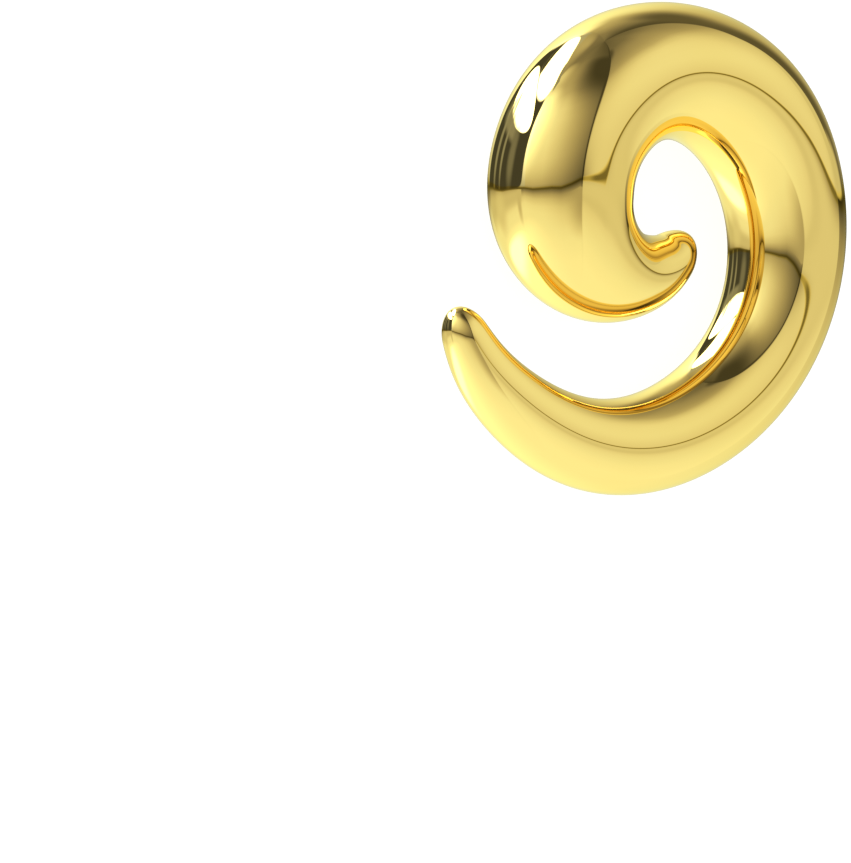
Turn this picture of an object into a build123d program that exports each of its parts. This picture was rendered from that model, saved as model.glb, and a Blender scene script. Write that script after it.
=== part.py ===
from build123d import *
from collections import namedtuple
from math import acos, cos, degrees, dist, radians, sin, sqrt
import os

# Spiral ear taper: one solid round steel bar, bent into a flat spiral and polished.
# The slim tip is pushed through the lobe, the arm grows to the wearing gauge, the belly is the
# thickest place, and the bar ends in a small inner curl. Both ends are closed by a bullet nose.
# Lengths are in millimetres and angles in degrees. The origin is on the resting surface,
# under the middle of the taper's box.

# Driving dimensions
gauge = 10.0         # thickness of the bar at the belly, the size that the taper is sold by
arm_room = 15.7      # from the spiral's pole to the inner wall of the arm, at the tip
tip_nose = 2.1       # length of the rounded end of the tip, past its last round section
curl_nose = 1.75     # the same at the end of the inner curl
tip_bearing = -61.0  # where the tip stands round the pole, from +X towards +Y

# The belly is thicker than the arm, so the flat of the spiral leans when the taper lies on a
# table. With these two turns of that flat its weight lies lowest.
lean_about_x = -2.2
lean_about_y = 2.8

# Round sections along the bar, from the tip to the end of the inner curl.
# turn: how far round the pole, from the tip
# room: from the pole to the bar's inner wall, as a share of arm_room
# girth: thickness of the bar, as a share of gauge
Station = namedtuple("Station", "turn room girth")
stations = [
    Station(turn=0, room=1.000, girth=0.33),
    Station(turn=8, room=0.975, girth=0.41),
    Station(turn=20, room=0.930, girth=0.50),
    Station(turn=45, room=0.850, girth=0.63),
    Station(turn=75, room=0.740, girth=0.705),
    Station(turn=110, room=0.630, girth=0.75),
    Station(turn=150, room=0.500, girth=0.83),
    Station(turn=190, room=0.390, girth=0.91),
    Station(turn=230, room=0.310, girth=0.93),
    Station(turn=270, room=0.230, girth=0.99),
    Station(turn=305, room=0.175, girth=1.00),
    Station(turn=335, room=0.136, girth=0.97),
    Station(turn=360, room=0.104, girth=0.875),
    Station(turn=385, room=0.088, girth=0.735),
    Station(turn=410, room=0.092, girth=0.59),
    Station(turn=435, room=0.107, girth=0.47),
    Station(turn=460, room=0.136, girth=0.35),
]


def radius_at(station):
    """Radius of the bar at a station."""
    return gauge * station.girth / 2


def middle_at(station):
    """Middle of the bar at a station, on the flat of the spiral."""
    reach = arm_room * station.room + radius_at(station)
    bearing = radians(tip_bearing + station.turn)
    return reach * cos(bearing), reach * sin(bearing)


def nose_ellipse(end, before_end, length):
    """Ellipse of the bullet nose past an end: front, half length and half width.

    The nose is the front of an ellipsoid, cut where its slope is the one that the bar has
    between its last two stations, so no edge shows. front is how far the cut lies forward of
    the ellipsoid's widest place, as a share of its half length.
    """
    radius = radius_at(end)
    slope = (radius_at(before_end) - radius) / dist(middle_at(before_end), middle_at(end))
    fall = slope * length / radius
    front = fall / (1 - fall)
    return front, length / (1 - front), radius / sqrt(1 - front**2)


# The flat of the spiral as it rests, and the bar's middle line on it
flat = Plane.XY.rotated((lean_about_x, lean_about_y, 0))
with BuildLine(flat):
    middle_line = Spline([middle_at(station) for station in stations])

# A plane across the bar at each station, facing along the middle line
crossings = []
for station in stations:
    place = flat.from_local_coords(middle_at(station))
    crossings.append(Plane(place, x_dir=flat.z_dir, z_dir=middle_line.tangent_at(place)))

# The two ends: the last station, the one before it, the plane that faces out of the bar there,
# and the length of the nose
ends = [
    (stations[0], stations[1], -crossings[0], tip_nose),
    (stations[-1], stations[-2], crossings[-1], curl_nose),
]

# The bar: round sections joined smoothly, and a nose turned on each end
with BuildPart() as bar:
    for station, crossing in zip(stations, crossings):
        with BuildSketch(crossing):
            Circle(radius_at(station))
    loft()
    for end, before_end, outward, length in ends:
        front, half_length, half_width = nose_ellipse(end, before_end, length)
        sweep_angle = degrees(acos(front))
        with BuildSketch(Plane(outward.origin, x_dir=outward.z_dir, z_dir=outward.x_dir)):
            with BuildLine():
                centre = (-front * half_length, 0)
                curve = EllipticalCenterArc(centre, half_length, half_width, arc_size=sweep_angle)
                Polyline(curve @ 1, (0, 0), curve @ 0)
            make_face()
        revolve(axis=Axis(outward.origin, outward.z_dir))

# The finished taper stands on the surface, with the middle of its box over the origin
box = bar.part.bounding_box()
with BuildPart() as taper:
    with Locations((-box.center().X, -box.center().Y, -box.min.Z)):
        add(bar.part)

taper.part.label = "taper"
os.makedirs("parts", exist_ok=True)
export_step(taper.part, "parts/taper.step")
size = taper.part.bounding_box().size
print(f"taper: {size.X:.2f} x {size.Y:.2f} x {size.Z:.2f} mm, {taper.part.volume:.0f} cubic mm")
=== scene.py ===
# %% [markdown]
# # A spiral ear taper in mirror-polished, gold-coated steel
#
# The real thing is one round steel bar. It grows from a slim tip to a thick belly, is bent
# into a flat spiral and ends in a small inner curl. It is ground and buffed until it mirrors
# the room, and then it gets a gold-coloured coating a thousandth of a millimetre thick.
#
# We model the bar ring by ring, give it one metal material, and build the light around it.
# On a mirror the light is half of the looks, so a good part of this lesson is the room.

# %% [markdown]
# ## The frame
#
# The CAD model is loaded first. It is the ruler for everything here: it lies on the floor at
# its true size, in metres, and the piece that we model has to lie in the same place.

# %% Load the frame
from collections import namedtuple
from math import asin, atan2, cos, dist, pi, radians, sin, sqrt

import bpy
from mathutils import Matrix, Vector


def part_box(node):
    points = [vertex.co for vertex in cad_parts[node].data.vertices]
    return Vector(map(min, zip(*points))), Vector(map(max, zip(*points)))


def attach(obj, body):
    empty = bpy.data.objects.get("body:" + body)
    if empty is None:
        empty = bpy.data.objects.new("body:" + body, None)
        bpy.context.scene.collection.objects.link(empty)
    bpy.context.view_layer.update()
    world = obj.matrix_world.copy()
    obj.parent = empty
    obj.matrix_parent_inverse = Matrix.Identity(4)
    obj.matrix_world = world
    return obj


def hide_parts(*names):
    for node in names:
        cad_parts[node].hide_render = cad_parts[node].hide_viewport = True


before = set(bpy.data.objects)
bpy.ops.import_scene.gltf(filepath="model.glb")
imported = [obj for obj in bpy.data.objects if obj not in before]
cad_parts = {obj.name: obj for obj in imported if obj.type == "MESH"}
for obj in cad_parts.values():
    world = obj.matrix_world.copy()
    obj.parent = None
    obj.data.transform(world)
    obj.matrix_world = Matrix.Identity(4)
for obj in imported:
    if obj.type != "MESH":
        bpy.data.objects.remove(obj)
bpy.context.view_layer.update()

MM = 0.001

# %% [markdown]
# ## Sections along the bar
#
# A smith would describe this bar by its thickness at a few places and by how far each place
# stands from the middle of the spiral. We write down the same. The middle of the spiral is
# called the pole. For each section, turn is how far round the pole it lies from the tip, in
# degrees. Room is the distance from the pole to the bar's inner wall, as a share of the room
# at the tip. Girth is the thickness, as a share of the belly's 10 mm. The turns were chosen one
# by one. The rooms and girths weren't chosen by hand: a program fitted this spiral to the
# outlines of both views in the photo, and its numbers were rounded.

# %% Write down the sections
GAUGE = 10.0 * MM
ARM_ROOM = 15.7 * MM
TIP_BEARING = -61.0

Section = namedtuple("Section", "turn room girth")
SECTIONS = [
    Section(turn=0, room=1.000, girth=0.33),
    Section(turn=8, room=0.975, girth=0.41),
    Section(turn=20, room=0.930, girth=0.50),
    Section(turn=45, room=0.850, girth=0.63),
    Section(turn=75, room=0.740, girth=0.705),
    Section(turn=110, room=0.630, girth=0.75),
    Section(turn=150, room=0.500, girth=0.83),
    Section(turn=190, room=0.390, girth=0.91),
    Section(turn=230, room=0.310, girth=0.93),
    Section(turn=270, room=0.230, girth=0.99),
    Section(turn=305, room=0.175, girth=1.00),
    Section(turn=335, room=0.136, girth=0.97),
    Section(turn=360, room=0.104, girth=0.875),
    Section(turn=385, room=0.088, girth=0.735),
    Section(turn=410, room=0.092, girth=0.59),
    Section(turn=435, room=0.107, girth=0.47),
    Section(turn=460, room=0.136, girth=0.35),
]
LAST_TURN = SECTIONS[-1].turn
print("sections:", len(SECTIONS), "over", LAST_TURN, "degrees")

# %% [markdown]
# ## A smooth line through the sections
#
# Straight runs between the sections would show as facets, and a mirror shows every one. So we
# join them by a curve, a cubic between every two sections. The slopes at the sections are
# settled round by round, like a thin batten bent round nails, until the bend doesn't jump
# anywhere, because a jump would kink the mirrored lines. The result is a bar whose reach from
# the pole and whose radius are known at any turn. Where it is heading is read from two places,
# half a degree of turn ahead and behind.

# %% Join the sections
SETTLING_ROUNDS = 40
LOOK_AROUND = 0.5
STEPS = [after.turn - before.turn for before, after in zip(SECTIONS, SECTIONS[1:])]


def slopes_of(values):
    """Slope at each section, per degree of turn, that makes the curve bend evenly throughout."""
    rises = [(after - before) / step for before, after, step in zip(values, values[1:], STEPS)]
    slopes = [rises[0], *rises]
    for _ in range(SETTLING_ROUNDS):
        for index in range(1, len(values) - 1):
            left, right = STEPS[index - 1], STEPS[index]
            wanted = 3 * (rises[index - 1] / left + rises[index] / right)
            wanted -= slopes[index - 1] / left + slopes[index + 1] / right
            slopes[index] = wanted / (2 / left + 2 / right)
        slopes[0] = (3 * rises[0] - slopes[1]) / 2
        slopes[-1] = (3 * rises[-1] - slopes[-2]) / 2
    return slopes


ROOMS = [section.room for section in SECTIONS]
GIRTHS = [section.girth for section in SECTIONS]
ROOM_SLOPES = slopes_of(ROOMS)
GIRTH_SLOPES = slopes_of(GIRTHS)


def smooth_value(values, slopes, turn):
    """Value of the smooth curve at a turn."""
    index = 0
    while index < len(STEPS) - 1 and turn > SECTIONS[index + 1].turn:
        index += 1
    step = STEPS[index]
    share = (turn - SECTIONS[index].turn) / step
    bend = share**2 * (3 - 2 * share)
    start = values[index] * (1 - bend) + slopes[index] * step * share * (1 - share)**2
    return start + values[index + 1] * bend - slopes[index + 1] * step * share**2 * (1 - share)


def radius_at(turn):
    """Radius of the bar at a turn."""
    return GAUGE / 2 * smooth_value(GIRTHS, GIRTH_SLOPES, turn)


def middle_at(turn):
    """Middle of the bar at a turn, on the flat of the spiral, with the pole at the origin."""
    reach = ARM_ROOM * smooth_value(ROOMS, ROOM_SLOPES, turn) + radius_at(turn)
    bearing = radians(TIP_BEARING + turn)
    return Vector((reach * cos(bearing), reach * sin(bearing), 0))


def heading_at(turn):
    """Direction in which the bar runs at a turn, as an angle from +X towards +Y."""
    ahead = middle_at(min(turn + LOOK_AROUND, LAST_TURN))
    behind = middle_at(max(turn - LOOK_AROUND, 0))
    return atan2(ahead.y - behind.y, ahead.x - behind.x)


thickest = max(2 * radius_at(turn) for turn in range(LAST_TURN + 1))
print("thickest place:", round(thickest / MM, 2), "mm")

# %% [markdown]
# ## The list of rings
#
# The bar will be a stack of rings. Along the bar there is one every 4 degrees, so the rings
# lie closest where the bend is tightest. The two ends are bullet noses: the front part of an
# ellipsoid, cut where its slope is the slope of the bar, so that no edge shows. Their rings
# crowd towards the point, where the surface turns fastest, and the last gap, from the last ring
# to the point, is less than half as wide as the others.

# %% List the rings
TIP_NOSE = 2.1 * MM
CURL_NOSE = 1.75 * MM
RING_STEP = 4
NOSE_RINGS = 9
LAST_GAP = 0.4

Ring = namedtuple("Ring", "middle heading radius")


def nose_rings(end_turn, inner_turn, length, outward):
    """Rings of a bullet nose from the bar's end outwards, and the point that closes it."""
    radius = radius_at(end_turn)
    run = dist(middle_at(inner_turn), middle_at(end_turn))
    fall = (radius_at(inner_turn) - radius) / run * length / radius
    front = fall / (1 - fall)
    half_length = length / (1 - front)
    half_width = radius / sqrt(1 - front**2)
    heading = heading_at(end_turn)
    way = Vector((cos(heading), sin(heading), 0)) * outward
    rings = []
    for number in range(1, NOSE_RINGS + 1):
        share = number / (NOSE_RINGS + LAST_GAP)
        angle = asin(front) + (pi / 2 - asin(front)) * share
        along = half_length * (sin(angle) - front)
        rings.append(Ring(middle_at(end_turn) + way * along, heading, half_width * cos(angle)))
    return rings, middle_at(end_turn) + way * length


tip_rings, tip_point = nose_rings(0, SECTIONS[1].turn, TIP_NOSE, -1)
curl_rings, curl_point = nose_rings(LAST_TURN, SECTIONS[-2].turn, CURL_NOSE, 1)
bar_rings = []
for turn in range(0, LAST_TURN + 1, RING_STEP):
    bar_rings.append(Ring(middle_at(turn), heading_at(turn), radius_at(turn)))
rings = [*reversed(tip_rings), *bar_rings, *curl_rings]
print("rings:", len(rings))

# %% [markdown]
# ## The bar, pulled out ring by ring
#
# This is how a horn or a tusk is modelled by hand. We start with one circle at the tip,
# extrude it, move the new ring along, scale it to its thickness and turn it into the bend,
# and do the same again for every ring. The smoothing at the end pulls a circle of 40 sides in
# a little, so each ring is drawn that much wider. A script has no window, and there the turn
# operator turns the other way and needs its centre given, which is why the angle has a minus.

# %% Pull out the bar
SIDES = 40
PULL_IN = (4 + 2 * cos(2 * pi / SIDES)) / 6

bpy.ops.object.select_all(action="DESELECT")
start = rings[0]
bpy.ops.mesh.primitive_circle_add(
    vertices=SIDES,
    radius=start.radius / PULL_IN,
    location=start.middle,
    rotation=(pi / 2, 0, start.heading + pi / 2),
)
taper = bpy.context.object
taper.name = "spiral_taper"
bpy.ops.object.transform_apply(location=True, rotation=True, scale=True)
bpy.ops.object.mode_set(mode="EDIT")
bpy.ops.mesh.select_all(action="SELECT")
for before, after in zip(rings, rings[1:]):
    size = after.radius / before.radius
    turned = (after.heading - before.heading + pi) % (2 * pi) - pi
    bpy.ops.mesh.extrude_region_move(
        TRANSFORM_OT_translate={"value": after.middle - before.middle},
    )
    bpy.ops.transform.resize(value=(size, size, size), center_override=after.middle)
    bpy.ops.transform.rotate(value=-turned, orient_axis="Z", center_override=after.middle)
print("quads along the bar:", SIDES * (len(rings) - 1))

# %% [markdown]
# ## The two points
#
# The last ring is still selected. We extrude it once more, to the very point of the nose,
# scale it to nothing and merge it, which closes the bar without a hole. Then we pick the
# first ring by its place and close the tip in the same way.

# %% Close both ends
PICKING_REACH = 1.1


def close_end(ring, point):
    """Pull the selected end ring together into the point of its nose."""
    bpy.ops.mesh.extrude_region_move(TRANSFORM_OT_translate={"value": point - ring.middle})
    bpy.ops.transform.resize(value=(0, 0, 0), center_override=point)
    bpy.ops.mesh.merge(type="CENTER")


close_end(rings[-1], curl_point)
bpy.ops.mesh.select_all(action="DESELECT")
bpy.ops.object.mode_set(mode="OBJECT")
for vertex in taper.data.vertices:
    vertex.select = dist(vertex.co, start.middle) < start.radius * PICKING_REACH
bpy.ops.object.mode_set(mode="EDIT")
bpy.ops.mesh.select_mode(type="VERT")
close_end(start, tip_point)
bpy.ops.mesh.select_all(action="SELECT")
bpy.ops.mesh.normals_make_consistent(inside=False)
bpy.ops.object.mode_set(mode="OBJECT")
print("points and faces of the cage:", len(taper.data.vertices), len(taper.data.polygons))

# %% [markdown]
# ## Smoothing, and how it lies on the table
#
# Two rounds of subdivision turn the cage into a surface fine enough for a mirror. The real
# taper is thicker at the belly than along the arm, so it doesn't lie quite level: its flat
# leans by a few degrees until its weight is lowest. We lean it by the same two angles as the
# CAD model, apply them to the mesh, and move it so that it fills the CAD model's box.

# %% Smooth and lay down
LEAN_ABOUT_X = radians(-2.2)
LEAN_ABOUT_Y = radians(2.8)
SMOOTHING = 2

smoothing = taper.modifiers.new("smoothing", "SUBSURF")
smoothing.levels = SMOOTHING
smoothing.render_levels = SMOOTHING
bpy.ops.object.modifier_apply(modifier=smoothing.name)
bpy.ops.object.shade_smooth()
taper.rotation_mode = "YXZ"
taper.rotation_euler = (LEAN_ABOUT_X, LEAN_ABOUT_Y, 0)
bpy.ops.object.transform_apply(location=True, rotation=True, scale=True)


def box_of(mesh):
    """Lowest and highest corner of a mesh."""
    places = [vertex.co for vertex in mesh.vertices]
    lowest = Vector([min(place[axis] for place in places) for axis in range(3)])
    highest = Vector([max(place[axis] for place in places) for axis in range(3)])
    return lowest, highest


def seat_of(lowest, highest):
    """Middle of a box's bottom, the place that has to match."""
    return Vector(((lowest.x + highest.x) / 2, (lowest.y + highest.y) / 2, lowest.z))


cad_low, cad_high = [Vector(corner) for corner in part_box("taper")]
move = seat_of(cad_low, cad_high) - seat_of(*box_of(taper.data))
taper.location = move
bpy.ops.object.transform_apply(location=True, rotation=True, scale=True)
POLE = move
low, high = box_of(taper.data)
print("triangles:", 2 * len(taper.data.polygons))
print("size:", [round(value / MM, 2) for value in high - low], "mm")
print("CAD size:", [round(value / MM, 2) for value in cad_high - cad_low], "mm")

# %% [markdown]
# ## Helpers for colours and nodes
#
# Colours are picked on screen as sRGB hex values, but light adds up in linear values, so one
# function turns them. Another adds a node to a tree, sets its options and fills or links its
# sockets. With it a material reads as a list of what happens to the surface.

# %% Helpers for colours and nodes


def linear(hex_colour):
    """Linear colour, with alpha, of an sRGB hex value such as FF8000."""
    colour = []
    for index in (0, 2, 4):
        part = int(hex_colour[index:index + 2], 16) / 255
        colour.append(part / 12.92 if part < 0.04045 else ((part + 0.055) / 1.055)**2.4)
    return (*colour, 1)


def add_node(tree, kind, inputs, **options):
    """Add a node. Options set the node itself, inputs gives each socket a value or a link."""
    node = tree.nodes.new("ShaderNode" + kind)
    for name, value in options.items():
        setattr(node, name, value)
    for socket, value in inputs.items():
        if isinstance(value, bpy.types.NodeSocket):
            tree.links.new(value, node.inputs[socket])
        else:
            node.inputs[socket].default_value = value
    return node


print("mid grey in linear light:", [round(part, 3) for part in linear("808080")])

# %% [markdown]
# ## Gold-coloured coating on mirror-polished steel
#
# The steel is ground, then buffed on a soft wheel, and coated in a vacuum chamber. The
# coating is far too thin to hide the polish, so what the eye gets is a clear, coloured mirror.
# Three things keep it from looking like plastic. The coating's thickness drifts, so the gold
# is a little paler in some places. The wheel leaves a faint haze in patches, which softens
# the mirror there. And it leaves waves a few millimetres long and a few thousandths of a
# millimetre deep, which make the mirrored edges swim a little. Where the surface is seen at a
# flat angle, a gold mirror turns pale but stays a little yellow, and the rim's tint says so.

# %% Make the gold
COATING_DRIFT = 9 * MM
HAZE_PATCH = 1.6 * MM
WAVE_LENGTH = 4 * MM
WAVE_DEPTH = 0.004 * MM
CLEAR_POLISH = 0.008
HAZY_POLISH = 0.03
LOW_NOISE = 0.3
HIGH_NOISE = 0.75
GOLD = "FBD984"
PALER_GOLD = "FDDD8F"
RIM_TINT = (1.0, 0.98, 0.73, 1)

gold = bpy.data.materials.new("gold_pvd_coating_on_mirror_polished_steel")
gold.use_nodes = True
tree = gold.node_tree
tree.nodes.clear()
place = add_node(tree, "TexCoord", {}).outputs["Object"]
drift = add_node(tree, "TexNoise", {"Vector": place, "Scale": 1 / COATING_DRIFT, "Detail": 2.0})
colour = add_node(
    tree,
    "Mix",
    {0: drift.outputs["Fac"], 6: linear(GOLD), 7: linear(PALER_GOLD)},
    data_type="RGBA",
)
haze = add_node(tree, "TexNoise", {"Vector": place, "Scale": 1 / HAZE_PATCH, "Detail": 4.0})
roughness = add_node(
    tree,
    "MapRange",
    {
        "Value": haze.outputs["Fac"],
        "From Min": LOW_NOISE,
        "From Max": HIGH_NOISE,
        "To Min": CLEAR_POLISH,
        "To Max": HAZY_POLISH,
    },
)
waves = add_node(tree, "TexNoise", {"Vector": place, "Scale": 1 / WAVE_LENGTH, "Detail": 0.0})
bump = add_node(
    tree,
    "Bump",
    {"Height": waves.outputs["Fac"], "Distance": WAVE_DEPTH, "Strength": 1.0},
)
metal = add_node(
    tree,
    "BsdfPrincipled",
    {
        "Base Color": colour.outputs[2],
        "Metallic": 1.0,
        "Roughness": roughness.outputs["Result"],
        "Specular Tint": RIM_TINT,
        "Normal": bump.outputs["Normal"],
    },
)
add_node(tree, "OutputMaterial", {"Surface": metal.outputs["BSDF"]})
taper.data.materials.append(gold)
print("material:", gold.name)

# %% [markdown]
# ## The camera
#
# A jewellery photo is taken from far away with a very long lens, so that the near side of a
# small thing doesn't look swollen. The camera looks down at the spiral from the side of the
# belly's bend and is turned on its side, so that the slim tip points to the left of the
# picture. We build its rotation in three steps: round the table, down from above, and on its
# side. Then we back off until the frame's height covers 58.27 mm, with the pole where the
# photo has it, in the upper right. The photo is a little taller than wide, and Blender lays
# the sensor's width along the longer side. The angles, the frame's height and the pole's place
# come from the same fit as the sections.

# %% Set the camera
AZIMUTH = radians(0.47)
ELEVATION = radians(54.82)
ROLL = radians(88.62)
LENS = 1100
SENSOR = 36
FRAME_HEIGHT = 58.27 * MM
POLE_RIGHT_OF_MIDDLE = 14.86 * MM
POLE_ABOVE_MIDDLE = 15.01 * MM

round_table = Matrix.Rotation(AZIMUTH, 3, "Z")
look_down = Matrix.Rotation(pi / 2 - ELEVATION, 3, "X")
on_its_side = Matrix.Rotation(ROLL, 3, "Z")
facing = round_table @ look_down @ on_its_side
picture_right, picture_up, towards_viewer = facing.col
aim = POLE - picture_right * POLE_RIGHT_OF_MIDDLE - picture_up * POLE_ABOVE_MIDDLE
bpy.ops.object.camera_add(
    location=aim + towards_viewer * FRAME_HEIGHT * LENS / SENSOR,
    rotation=facing.to_euler(),
)
camera = bpy.context.object
camera.name = "studio_camera"
camera.data.lens = LENS
camera.data.sensor_width = SENSOR
bpy.context.scene.camera = camera
print("camera distance:", round((camera.location - aim).length, 2), "m")

# %% [markdown]
# ## The floor
#
# The taper lies on a light table: a wide sheet of opal acrylic, lit from below. The camera
# sees it as almost pure white, and the light that comes through it leaves only a faint, soft
# shadow where the bar comes near. The metal doesn't mirror it: as on many jewellery photos
# the thing and its surface are lit apart, and the metal mirrors only the room.

# %% Lay the floor
FLOOR_SIZE = 4
GRAIN_SIZE = 0.5 * MM
SURFACE_SHARE = 0.27
TABLE_GLOW = 1.30
OPAL = "F6F6F5"
PALER_OPAL = "F8F8F7"

bpy.ops.mesh.primitive_plane_add(size=FLOOR_SIZE)
floor = bpy.context.object
floor.name = "studio_floor"
acrylic = bpy.data.materials.new("opal_acrylic_light_table")
acrylic.use_nodes = True
tree = acrylic.node_tree
tree.nodes.clear()
place = add_node(tree, "TexCoord", {}).outputs["Object"]
grain = add_node(tree, "TexNoise", {"Vector": place, "Scale": 1 / GRAIN_SIZE})
colour = add_node(
    tree,
    "Mix",
    {0: grain.outputs["Fac"], 6: linear(OPAL), 7: linear(PALER_OPAL)},
    data_type="RGBA",
)
surface = add_node(tree, "BsdfDiffuse", {"Color": colour.outputs[2]})
lit_below = add_node(tree, "Emission", {"Color": colour.outputs[2], "Strength": TABLE_GLOW})
table = add_node(
    tree,
    "MixShader",
    {0: SURFACE_SHARE, 1: lit_below.outputs[0], 2: surface.outputs[0]},
)
add_node(tree, "OutputMaterial", {"Surface": table.outputs[0]})
floor.data.materials.append(acrylic)
floor.visible_glossy = False
print("floor:", FLOOR_SIZE, "m square")

# %% [markdown]
# ## The room that the metal mirrors
#
# A mirror has no looks of its own: the dark bands and white flashes of the photo look like a
# grey room with one bright window wall. We paint such a room on the world, as light that comes
# from far away. First every ray is turned into the room's own axes: x to the picture's right,
# y up in the picture, z towards the viewer. Bearing is the angle round the upright axis, 0 towards
# the viewer. Height is the angle above the horizon, seen square to the nearest wall, so that
# it is the same all along a level line on a wall, such as the ceiling's edge. No rays are
# aimed at the bright spots: a mirror finds them by itself, and the rest is lit evenly.

# %% Turn each ray into the room's axes
ROOM_TURNED = 15

world = bpy.data.worlds.new("grey_room_with_window_wall")
bpy.context.scene.world = world
world.use_nodes = True
world.cycles.sampling_method = "NONE"
tree = world.node_tree
tree.nodes.clear()
ray = add_node(tree, "TexCoord", {}).outputs["Generated"]
in_room = add_node(
    tree,
    "VectorRotate",
    {"Vector": ray, "Rotation": camera.rotation_euler},
    rotation_type="EULER_XYZ",
    invert=True,
).outputs["Vector"]
parts = add_node(tree, "SeparateXYZ", {"Vector": in_room}).outputs
bearing = add_node(
    tree,
    "Math",
    {0: parts["X"], 1: parts["Z"]},
    operation="ARCTAN2",
).outputs[0]
squared_up = add_node(
    tree,
    "VectorRotate",
    {"Vector": in_room, "Angle": radians(ROOM_TURNED)},
    rotation_type="Y_AXIS",
).outputs["Vector"]
distances = add_node(tree, "VectorMath", {0: squared_up}, operation="ABSOLUTE").outputs[0]
distances = add_node(tree, "SeparateXYZ", {"Vector": distances}).outputs
nearest = add_node(
    tree,
    "Math",
    {0: distances["X"], 1: distances["Z"]},
    operation="MAXIMUM",
).outputs[0]
height = add_node(
    tree,
    "Math",
    {0: parts["Y"], 1: nearest},
    operation="ARCTAN2",
).outputs[0]
print("nodes so far:", len(tree.nodes))

# %% [markdown]
# ## How bright the walls are
#
# Light in a room falls off slowly and stops at the corners. Short lists of an angle and a
# brightness say so. The first goes round the walls by bearing. It changes slowly along a wall
# and jumps at a corner, most of all at the two ends of the wall opposite the windows, which
# gets their light full on. The brightnesses in this list and in the next two started from how
# bright the photo's metal is in each mirrored direction, which a program printed. They were
# rounded, and then changed until the render came close to the photo.

# %% Write down the walls
Stop = namedtuple("Stop", "degrees value")
WALL_BY_BEARING = [
    Stop(-180, 1.00),
    Stop(-165, 1.27),
    Stop(-154, 1.30),
    Stop(-153, 1.10),
    Stop(-66.5, 1.10),
    Stop(-65.5, 1.08),
    Stop(-45, 1.05),
    Stop(-30, 1.02),
    Stop(-15, 0.84),
    Stop(0, 0.63),
    Stop(12, 0.48),
    Stop(22, 0.36),
    Stop(32.0, 0.25),
    Stop(32.5, 0.03),
    Stop(34.8, 0.03),
    Stop(35.2, 0.68),
    Stop(45, 0.73),
    Stop(60, 0.84),
    Stop(75, 0.90),
    Stop(90, 0.84),
    Stop(105, 0.73),
    Stop(120.5, 0.70),
    Stop(121.5, 0.14),
    Stop(135, 0.25),
    Stop(150, 0.52),
    Stop(165, 0.72),
    Stop(180, 1.00),
]
print("stops round the walls:", len(WALL_BY_BEARING))

# %% [markdown]
# ## How bright each height is
#
# The second list says how much of the walls' light is seen at each height: most half way up,
# little at the ceiling, and some on the floor close to the walls. The third is the light that
# floor and ceiling have of their own. Between floor and walls both stop, which leaves the thin
# dark line that runs along the whole bar.

# %% Write down the heights
WALL_BY_HEIGHT = [
    Stop(-90, 0.00),
    Stop(-60, 0.04),
    Stop(-40, 0.10),
    Stop(-30, 0.17),
    Stop(-20, 0.33),
    Stop(-15, 0.40),
    Stop(-10, 0.36),
    Stop(-7, 0.24),
    Stop(-5, 0.16),
    Stop(-3.6, 0.10),
    Stop(-2.9, 0.07),
    Stop(-2.4, 0.07),
    Stop(-1.9, 0.34),
    Stop(0, 0.50),
    Stop(5, 0.64),
    Stop(10, 0.76),
    Stop(15, 0.86),
    Stop(25, 0.97),
    Stop(35, 1.02),
    Stop(41, 0.98),
    Stop(46, 0.84),
    Stop(52, 0.58),
    Stop(58, 0.46),
    Stop(66, 0.35),
    Stop(76, 0.17),
    Stop(90, 0.06),
]
OWN_BY_HEIGHT = [
    Stop(-90, 1.12),
    Stop(-60, 1.08),
    Stop(-40, 0.97),
    Stop(-30, 0.85),
    Stop(-20, 0.64),
    Stop(-15, 0.50),
    Stop(-10, 0.34),
    Stop(-7, 0.24),
    Stop(-5, 0.12),
    Stop(-3, 0.02),
    Stop(0, 0.00),
    Stop(55, 0.01),
    Stop(75, 0.05),
    Stop(90, 0.09),
]
print("stops by height:", len(WALL_BY_HEIGHT), len(OWN_BY_HEIGHT))

# %% [markdown]
# ## The line isn't quite level
#
# Traced back from the photo, the dark line isn't level. The last list says by how many degrees
# the line at the foot of the walls rises and dips round the room, so that it runs about where
# the photo's does. It started from the heights at which the photo shows the line, and was then
# changed. The horizon, from which all heights are counted, rises and dips with it, so
# that floor and walls keep meeting in the line.

# %% Write down the line
LINE_BY_BEARING = [
    Stop(-180, 3.5),
    Stop(-150, 3.6),
    Stop(-135, 3.2),
    Stop(-120, 2.2),
    Stop(-105, 1.4),
    Stop(-90, 1.3),
    Stop(-76, 0.9),
    Stop(-60, -0.3),
    Stop(-45, -1.2),
    Stop(-30, -0.9),
    Stop(-15, -0.7),
    Stop(0, -1.4),
    Stop(15, -0.3),
    Stop(30, 1.1),
    Stop(45, 0.4),
    Stop(58, -0.3),
    Stop(74, -1.0),
    Stop(82, 0.9),
    Stop(90, 2.1),
    Stop(105, 2.7),
    Stop(120, 3.6),
    Stop(150, 4.9),
    Stop(180, 3.5),
]
print("stops along the line:", len(LINE_BY_BEARING))

# %% [markdown]
# ## The lists become ramps
#
# A colour ramp holds values from 0 to 1 at places from 0 to 1. So each list's angles go in as
# shares of the way from minus its reach to plus its reach, and its values as shares of the way
# from lowest to highest, which the node after the ramp undoes. The line's rise comes first,
# because it is taken off the height before the height's own ramps read it. A new stop may
# start anywhere, since each is then moved to its place. In the end every direction is as bright
# as the walls at its bearing, times their share at its height, plus what floor and ceiling
# have of their own.

# %% Make the ramps
BRIGHTEST = 1.6
HIGHEST_RISE = 6
ANY_PLACE = 0.5

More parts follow.
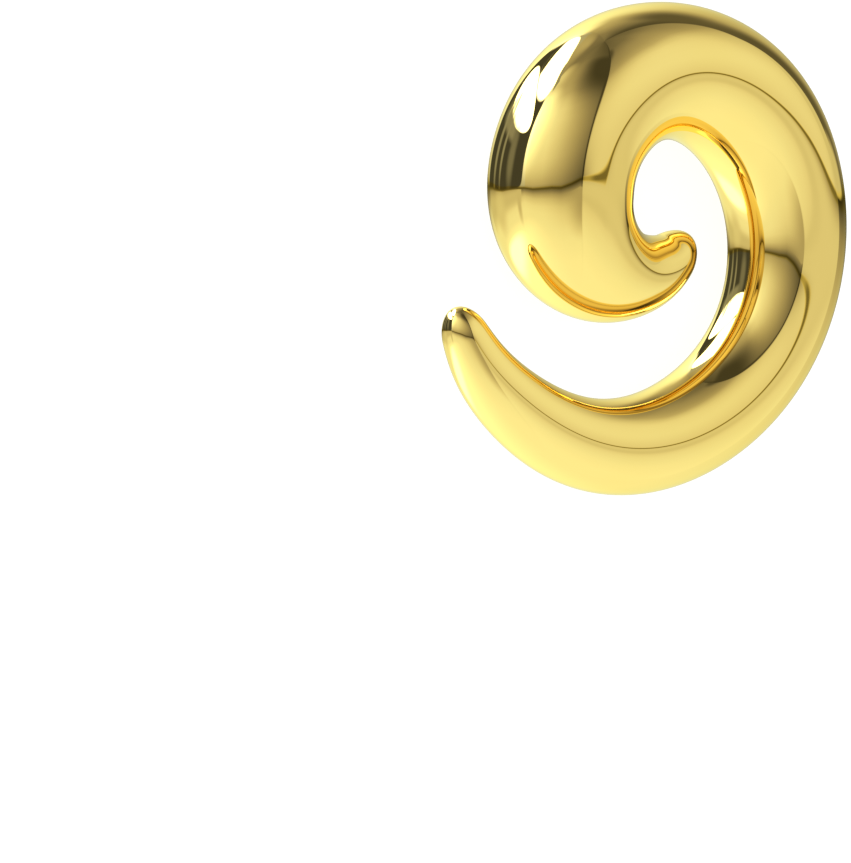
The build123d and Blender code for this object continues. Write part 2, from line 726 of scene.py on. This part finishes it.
Shade = namedtuple("Shade", "name angle reach lowest highest stops")
SHADES = [
    Shade("rise", "bearing", 180, -HIGHEST_RISE, HIGHEST_RISE, LINE_BY_BEARING),
    Shade("walls", "bearing", 180, 0, BRIGHTEST, WALL_BY_BEARING),
    Shade("share_of_walls", "levelled_height", 90, 0, BRIGHTEST, WALL_BY_HEIGHT),
    Shade("floor_and_ceiling", "levelled_height", 90, 0, BRIGHTEST, OWN_BY_HEIGHT),
]
angles = {"bearing": bearing}
shaded = {}
for shade in SHADES:
    share = add_node(
        tree,
        "MapRange",
        {
            "Value": angles[shade.angle],
            "From Min": -radians(shade.reach),
            "From Max": radians(shade.reach),
        },
    ).outputs["Result"]
    ramp = add_node(tree, "ValToRGB", {"Fac": share})
    while len(ramp.color_ramp.elements) < len(shade.stops):
        ramp.color_ramp.elements.new(ANY_PLACE)
    for element, stop in zip(ramp.color_ramp.elements, shade.stops):
        element.position = (stop.degrees + shade.reach) / (2 * shade.reach)
        level = (stop.value - shade.lowest) / (shade.highest - shade.lowest)
        element.color = (level, level, level, 1)
    shaded[shade.name] = add_node(
        tree,
        "MapRange",
        {"Value": ramp.outputs["Color"], "To Min": shade.lowest, "To Max": shade.highest},
    ).outputs["Result"]
    if shade.name == "rise":
        rise = add_node(tree, "Math", {0: shaded["rise"]}, operation="RADIANS").outputs[0]
        levelled = add_node(tree, "Math", {0: height, 1: rise}, operation="SUBTRACT")
        angles["levelled_height"] = levelled.outputs[0]
levelled_height = angles["levelled_height"]
brightness = add_node(
    tree,
    "Math",
    {0: shaded["walls"], 1: shaded["share_of_walls"], 2: shaded["floor_and_ceiling"]},
    operation="MULTIPLY_ADD",
).outputs[0]
print("ramps:", len(SHADES))

# %% [markdown]
# ## Flat walls to hang things on
#
# One wall has two large bright windows. To place such things, a wall is flattened: each ray's
# sideways and upward part are divided by its part towards the wall, which gives where the ray
# meets a wall one metre away. Bearing says where a wall stands, and half_width how far it
# reaches to each side at that distance, up to its corners. Bottom and top are heights, where it
# fades over one degree. The floor is a wall that is seen straight down. The strips of floor
# in front of three walls, the dark line at the foot of one, and the ceiling over the windows
# are flattened like the wall that they belong to. A ray that hardly runs towards a wall is
# taken not to meet it.

# %% Flatten the walls
CORNER_SOFTNESS = 0.01
HEIGHT_SOFTNESS = 0.5
LEAST_TOWARDS = 0.02

Wall = namedtuple("Wall", "bearing pitch half_width bottom top")
WALLS = {
    "floor": Wall(-106, -90, 9, -90, 0),
    "window_floor": Wall(-106, 0, 0.86, -90, -3.8),
    "front_floor": Wall(-15, 0, 1.13, -90, -7.0),
    "side_line": Wall(78, 0, 0.97, -4.0, -1.2),
    "side_floor": Wall(78, 0, 0.97, -90, -3.5),
    "side": Wall(78, 0, 0.97, -1.9, 90),
    "back": Wall(165, 0, 1.00, -2.2, 90),
    "front": Wall(-15, 0, 1.19, -2.2, 90),
    "window_ceiling": Wall(-106, 0, 1.08, 62, 90),
    "window": Wall(-106, 0, 1.08, -3.0, 67),
}
flat_walls = {}
for name, wall in WALLS.items():
    turned = add_node(
        tree,
        "VectorRotate",
        {"Vector": in_room, "Angle": -radians(wall.bearing)},
        rotation_type="Y_AXIS",
    ).outputs["Vector"]
    turned = add_node(
        tree,
        "VectorRotate",
        {"Vector": turned, "Angle": radians(wall.pitch)},
        rotation_type="X_AXIS",
    ).outputs["Vector"]
    towards = add_node(tree, "SeparateXYZ", {"Vector": turned}).outputs["Z"]
    flat = add_node(tree, "VectorMath", {0: turned, 1: towards}, operation="DIVIDE").outputs[0]
    flat_parts = add_node(tree, "SeparateXYZ", {"Vector": flat}).outputs
    aside = add_node(tree, "Math", {0: flat_parts["X"]}, operation="ABSOLUTE").outputs[0]
    shown = add_node(
        tree,
        "Math",
        {0: towards, 1: LEAST_TOWARDS},
        operation="GREATER_THAN",
    ).outputs[0]
    for amount, edge, softness in (
        (aside, wall.half_width, -CORNER_SOFTNESS),
        (levelled_height, radians(wall.bottom), radians(HEIGHT_SOFTNESS)),
        (levelled_height, radians(wall.top), -radians(HEIGHT_SOFTNESS)),
    ):
        share = add_node(
            tree,
            "MapRange",
            {"Value": amount, "From Min": edge - softness, "From Max": edge + softness},
            interpolation_type="SMOOTHSTEP",
        ).outputs["Result"]
        shown = add_node(tree, "Math", {0: shown, 1: share}, operation="MULTIPLY").outputs[0]
    flat_walls[name] = flat, shown
print("walls:", len(WALLS))

# %% [markdown]
# ## Windows, glows and shadows
#
# Each bright or dark patch of the room is a card on a wall: one brightness with a soft edge.
# Across and high place its middle on the flattened wall, tilt turns it, soft is the width of
# its edge, and corners says how square it is: 2 is an oval, and 8 is nearly a rectangle. The
# windows are bright ovals in a dark frame, which has a few paler streaks below them, and their
# light lies on the floor as two soft patches. Each card is laid over the ones before it. The
# cards' places were read off the photo's reflections, drawn flat on each wall, and all of a
# card's numbers were then changed until the render came close to the photo.

# %% Write down the cards
Card = namedtuple("Card", "name wall across high width height tilt soft corners brightness")
CARDS = [
    Card("window_glow", "floor", -0.08, 1.25, 2.60, 1.60, 0, 0.80, 2, 1.42),
    Card("window_light", "floor", -0.27, 1.55, 1.84, 0.84, -8, 0.45, 2.2, 2.50),
    Card("window_foot", "window_floor", 0.00, -0.12, 4.00, 0.18, 0, 0.90, 6, 0.66),
    Card("corner_foot", "front_floor", 1.16, -0.20, 0.94, 0.90, 0, 0.90, 2, 0.45),
    Card("brown_line", "side_line", 0.00, 0.00, 4.00, 4.00, 0, 0.10, 2, 0.18),
    Card("line_end", "side_line", -0.76, -0.05, 0.40, 0.24, 0, 0.80, 2, 0.42),
    Card("streak_left", "window_floor", -0.16, -0.20, 0.40, 0.28, 0, 0.80, 2, 0.76),
    Card("streak_right", "window_floor", 0.72, -0.24, 0.18, 0.50, 0, 0.70, 2, 0.64),
    Card("pale_floor", "side_floor", 0.00, -0.12, 4.00, 0.18, 0, 0.90, 6, 0.77),
    Card("pale_foot", "side", 0.15, 0.05, 1.75, 0.44, 0, 0.50, 6, 0.78),
    Card("pale_wall", "side", 0.05, 0.40, 1.80, 0.64, 0, 0.90, 2, 0.95),
    Card("dark_corner", "side", -1.00, 3.40, 0.44, 2.00, 0, 0.60, 2, 0.09),
    Card("high_glow", "front", -1.15, 2.10, 1.00, 2.40, 0, 0.90, 2, 0.85),
    Card("glow_front", "front", -1.12, 0.99, 1.04, 1.04, 0, 0.90, 2, 2.24),
    Card("glow_back", "back", 1.14, 1.35, 0.80, 1.35, 0, 0.90, 2, 2.20),
    Card("dark_curtain", "front", 1.06, 2.18, 1.80, 2.40, 0, 0.50, 3, 0.06),
    Card("dark_drape", "back", -0.70, 0.70, 0.44, 1.90, 26, 0.70, 2, 0.11),
    Card("dark_top", "back", -0.45, 1.70, 1.00, 1.20, 0, 0.70, 2, 0.12),
    Card("side_edge", "back", -1.10, 0.25, 0.80, 2.60, 22, 0.04, 10, 0.70),
    Card("side_toe", "back", -0.66, 0.06, 0.50, 0.24, 0, 0.40, 2, 0.66),
    Card("ceiling_glow", "window_ceiling", -0.30, 3.50, 1.20, 4.00, 0, 0.90, 2, 0.50),
    Card("frame", "window", -0.07, 0.68, 1.94, 1.44, 0, 0.02, 10, 0.06),
    Card("glow_corner", "window", -1.08, 1.30, 0.30, 0.60, 0, 0.40, 2.5, 2.00),
    Card("window_high", "window", -0.04, 1.72, 1.82, 1.46, 0, 0.05, 2.3, 4.60),
    Card("corner_shade", "window", 0.82, 2.29, 1.10, 0.56, -31, 0.20, 3, 0.32),
    Card("bar_left", "window", -0.60, 1.17, 0.84, 0.17, -31, 0.25, 2.5, 0.08),
    Card("window_low", "window", -0.05, 0.73, 1.54, 0.52, 3, 0.03, 2.1, 4.60),
    Card("window_tail", "window", -0.45, 0.48, 0.17, 0.18, -20, 0.20, 2, 3.00),
    Card("bar_middle", "window", -0.10, 1.00, 0.80, 0.02, 1, 0.50, 2, 0.30),
    Card("notch", "window", -0.32, 0.56, 0.24, 0.06, -45, 0.50, 2, 0.45),
    Card("strip_top", "window", -0.20, 0.43, 0.90, 0.14, 0, 0.50, 4, 0.28),
    Card("strip_left", "window", -0.43, 0.26, 0.14, 0.52, 0, 0.60, 2, 0.30),
    Card("strip_middle", "window", -0.13, 0.26, 0.09, 0.48, 0, 0.60, 2, 0.30),
    Card("strip_right", "window", 0.27, 0.26, 0.24, 0.50, 0, 0.60, 2, 0.20),
]
print("cards:", len(CARDS))

# %% [markdown]
# ## Laying the cards
#
# A Mapping node moves, turns and squeezes each card into a disc of radius one round the
# origin. The flattened wall is one metre away, hence the 1 in the card's location. How far a
# ray is from the middle follows from two powers, and the higher the power, the squarer the
# card. Inside, the card's brightness takes the place of what was there before.

# %% Lay the cards
for card in CARDS:
    flat, shown = flat_walls[card.wall]
    on_card = add_node(
        tree,
        "Mapping",
        {
            "Vector": flat,
            "Location": (card.across, card.high, 1),
            "Rotation": (0, 0, radians(card.tilt)),
            "Scale": (card.width / 2, card.height / 2, 1),
        },
        vector_type="TEXTURE",
    ).outputs["Vector"]
    from_middle = add_node(tree, "VectorMath", {0: on_card}, operation="ABSOLUTE").outputs[0]
    from_middle = add_node(tree, "SeparateXYZ", {"Vector": from_middle}).outputs
    across = add_node(tree, "Math", {0: from_middle["X"], 1: card.corners}, operation="POWER")
    up = add_node(tree, "Math", {0: from_middle["Y"], 1: card.corners}, operation="POWER")
    away = add_node(tree, "Math", {0: across.outputs[0], 1: up.outputs[0]}, operation="ADD")
    away = add_node(tree, "Math", {0: away.outputs[0], 1: 1 / card.corners}, operation="POWER")
    cover = add_node(
        tree,
        "MapRange",
        {
            "Value": away.outputs[0],
            "From Min": 1 + card.soft,
            "From Max": 1 - card.soft,
            "To Max": shown,
        },
        interpolation_type="SMOOTHSTEP",
    ).outputs["Result"]
    brightness = add_node(
        tree,
        "Mix",
        {0: cover, 2: brightness, 3: card.brightness},
        label=card.name,
    ).outputs[0]
print("nodes in the room:", len(tree.nodes))

# %% [markdown]
# ## The colour of the room
#
# No room is quite grey. A ramp gives each brightness a tint of its own, a little warmer in the
# shade than in the light. The tints started from the photo's median tint at each brightness,
# and were then changed. The window wall is cooler, because its light is daylight. The thin
# line at the foot of the walls is brown, like a wooden skirting, in a band that reaches about
# one degree to each side of its middle. These tints are factors on the room's grey light, so
# some are a little above 1.

# %% Colour the room
DAYLIGHT = (0.98, 1.08, 1.09, 1)
SKIRTING_BROWN = (1.05, 0.97, 0.38, 1)
LINE_MIDDLE = -2.7
LINE_REACH = 1.1

Tint = namedtuple("Tint", "brightness red green blue")
TINT_BY_BRIGHTNESS = [
    Tint(0.05, 1.00, 1.02, 0.77),
    Tint(0.10, 1.00, 1.00, 0.81),
    Tint(0.16, 1.00, 1.00, 0.84),
    Tint(0.27, 1.00, 0.98, 0.79),
    Tint(0.42, 1.00, 0.99, 0.76),
    Tint(0.58, 0.99, 1.00, 0.78),
    Tint(0.72, 0.98, 1.03, 0.82),
    Tint(0.84, 0.97, 1.03, 0.85),
    Tint(1.00, 0.94, 1.05, 0.91),
]
ramp = add_node(tree, "ValToRGB", {"Fac": brightness})
while len(ramp.color_ramp.elements) < len(TINT_BY_BRIGHTNESS):
    ramp.color_ramp.elements.new(ANY_PLACE)
for element, tint in zip(ramp.color_ramp.elements, TINT_BY_BRIGHTNESS):
    element.position = tint.brightness
    element.color = (tint.red, tint.green, tint.blue, 1)
daylit = flat_walls["window"][1]
room_colour = add_node(
    tree,
    "Mix",
    {0: daylit, 6: ramp.outputs["Color"], 7: DAYLIGHT},
    data_type="RGBA",
).outputs[2]
from_line = add_node(
    tree,
    "Math",
    {0: levelled_height, 1: radians(LINE_MIDDLE)},
    operation="SUBTRACT",
).outputs[0]
from_line = add_node(tree, "Math", {0: from_line}, operation="ABSOLUTE").outputs[0]
in_line = add_node(
    tree,
    "MapRange",
    {
        "Value": from_line,
        "From Min": radians(LINE_REACH + HEIGHT_SOFTNESS),
        "From Max": radians(LINE_REACH - HEIGHT_SOFTNESS),
    },
    interpolation_type="SMOOTHSTEP",
).outputs["Result"]
room_colour = add_node(
    tree,
    "Mix",
    {0: in_line, 6: room_colour, 7: SKIRTING_BROWN},
    data_type="RGBA",
).outputs[2]
print("tints:", len(TINT_BY_BRIGHTNESS))

# %% [markdown]
# ## Plain light for everything else
#
# The room is only for mirrored rays. The floor and the picture's background get plain, even
# white light from all sides, as from a tent of white cloth, which gives the soft shadow. The
# picture is shown without a film look, because the photo's whites are plain white.

# %% Light the scene
TENT_LIGHT = 1.12

room = add_node(tree, "Background", {"Color": room_colour, "Strength": brightness})
tent = add_node(tree, "Background", {"Color": (1, 1, 1, 1), "Strength": TENT_LIGHT})
mirrored = add_node(tree, "LightPath", {}).outputs["Is Glossy Ray"]
light = add_node(
    tree,
    "MixShader",
    {0: mirrored, 1: tent.outputs[0], 2: room.outputs[0]},
)
add_node(tree, "OutputWorld", {"Surface": light.outputs[0]})
bpy.context.scene.view_settings.view_transform = "Standard"
print("brightness of the tent:", TENT_LIGHT)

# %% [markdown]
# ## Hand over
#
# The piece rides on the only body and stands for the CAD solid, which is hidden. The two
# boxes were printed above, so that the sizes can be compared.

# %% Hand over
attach(taper, "root")
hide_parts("taper")
